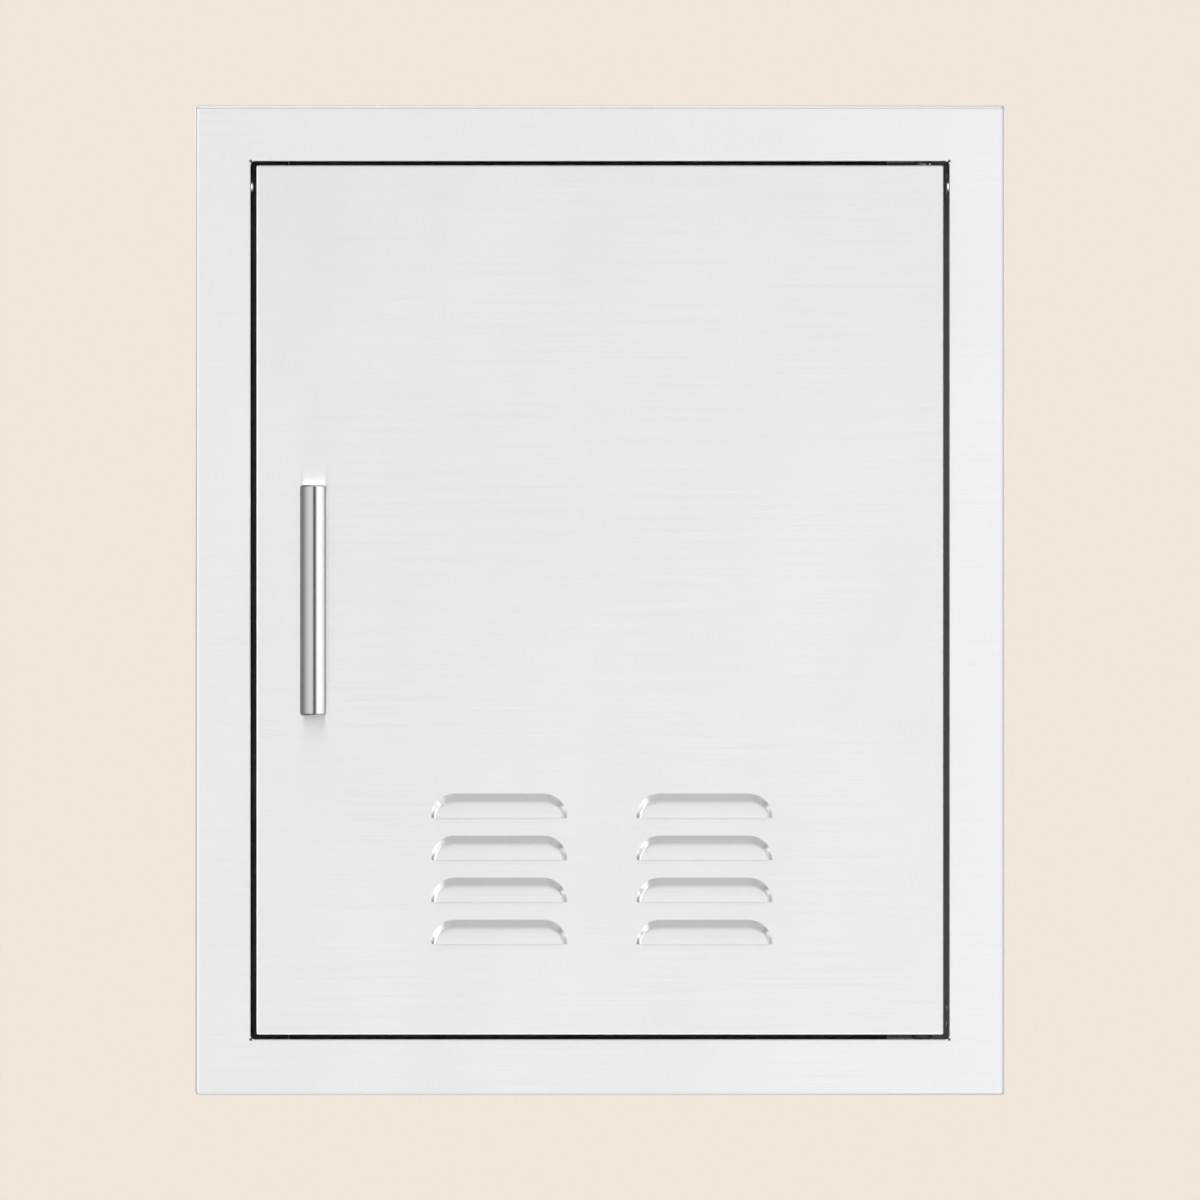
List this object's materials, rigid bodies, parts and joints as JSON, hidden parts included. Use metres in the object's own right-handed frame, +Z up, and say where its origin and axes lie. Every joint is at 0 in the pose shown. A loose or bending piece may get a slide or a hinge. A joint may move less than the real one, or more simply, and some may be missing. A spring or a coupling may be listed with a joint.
{
  "type": "outdoor kitchen access door",
  "caption": "Brushed stainless outdoor kitchen access door: folded frame with rear sleeve, side-hinged hollow door with pressed louvres, round bar handle, pivot pins and magnetic catch.",
  "frame": {"origin": "centre of the island's cut-out, on the island's face, which the frame's seat lip lies against", "axes": "+Z up, +Y back into the island, +X to the right as seen from the front"},
  "size_m": [0.4572, 0.0974, 0.5588],
  "materials": {
    "face_steel": "horizontally brushed stainless steel",
    "handle_steel": "fine satin stainless steel",
    "sheet_steel": "mill finish stainless sheet",
    "stop_black": "matt black painted steel",
    "hardware_steel": "zinc-plated steel",
    "rivet_steel": "stainless rivets",
    "spring_steel": "spring steel wire",
    "nylon": "black nylon",
    "catch_plastic": "black moulded plastic",
    "magnet": "dark ferrite",
    "rubber": "matte black rubber"
  },
  "bodies": {
    "frame": {"face_frame": "face_steel", "jamb_rivets": "rivet_steel", "sleeve_left": "sheet_steel", "sleeve_right": "sheet_steel", "sleeve_top": "sheet_steel", "sleeve_bottom": "sheet_steel", "sleeve_rivets": "rivet_steel", "stop_left": "stop_black", "stop_top": "stop_black", "stop_bottom": "stop_black", "stop_bumpers": "rubber", "hinge_plate_top": "hardware_steel", "hinge_plate_bottom": "hardware_steel", "pivot_bush_top": "nylon", "pivot_bush_bottom": "nylon", "thrust_washer": "nylon", "catch_housing": "catch_plastic", "catch_magnet": "magnet", "catch_pole_plates": "hardware_steel", "catch_screws": "hardware_steel"},
    "door": {"door_skin": "face_steel", "door_liner": "sheet_steel", "liner_rivets": "rivet_steel", "handle_bar": "handle_steel", "handle_post_top": "handle_steel", "handle_post_bottom": "handle_steel", "handle_backer": "hardware_steel", "handle_washers": "hardware_steel", "handle_screws": "hardware_steel", "top_pin_bracket": "hardware_steel", "bottom_pin_bracket": "hardware_steel", "bottom_pivot_pin": "hardware_steel", "strike_plate": "hardware_steel", "strike_rivets": "rivet_steel"},
    "top_pin": {"top_pivot_pin": "hardware_steel", "pin_collar": "hardware_steel", "pin_spring": "spring_steel", "pin_pull_tab": "hardware_steel"}
  },
  "joints": [
    {"name": "door_hinge", "type": "hinge", "parent": "frame", "child": "door", "pos_m": [0.18215, -0.0005, 0], "axis": [0, 0, 1], "range_deg": [0, 110]},
    {"name": "top_pin_slide", "type": "slide", "parent": "door", "child": "top_pin", "axis": [0, 0, -1], "range_m": [0, 0.0075], "stiffness_N_per_m": 400, "springref_m": -0.005, "deforming": ["pin_spring"]}
  ]
}
